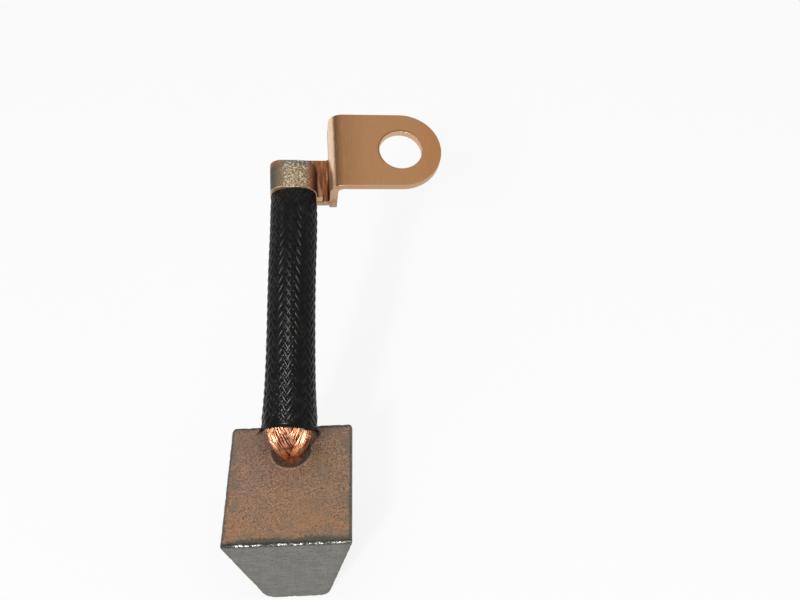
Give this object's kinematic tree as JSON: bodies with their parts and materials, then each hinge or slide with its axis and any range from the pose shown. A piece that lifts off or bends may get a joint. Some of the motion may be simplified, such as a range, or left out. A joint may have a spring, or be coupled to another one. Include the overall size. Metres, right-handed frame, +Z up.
{
  "type": "carbon brush",
  "caption": "Wedge-shaped carbon brush with a sleeved copper braid tamped into its wide face and a folded sheet terminal with a round eye",
  "frame": {"origin": "centre of the narrow face of the carbon block, on which the brush stands", "axes": "+Z up from the narrow face to the wide face; -Y out of the wear face, so +Y is the way from the commutator to the spring; +X towards the eye of the terminal"},
  "size_m": [0.0286, 0.047, 0.0424],
  "materials": {
    "carbon": "matte",
    "tamping": "matte",
    "braid": "satin",
    "sleeve": "satin",
    "terminal": "satin"
  },
  "bodies": {
    "root": {"carbon_block": "carbon", "tamping": "tamping", "copper_shunt": "braid", "insulating_sleeve": "sleeve", "terminal": "terminal"}
  },
  "joints": []
}
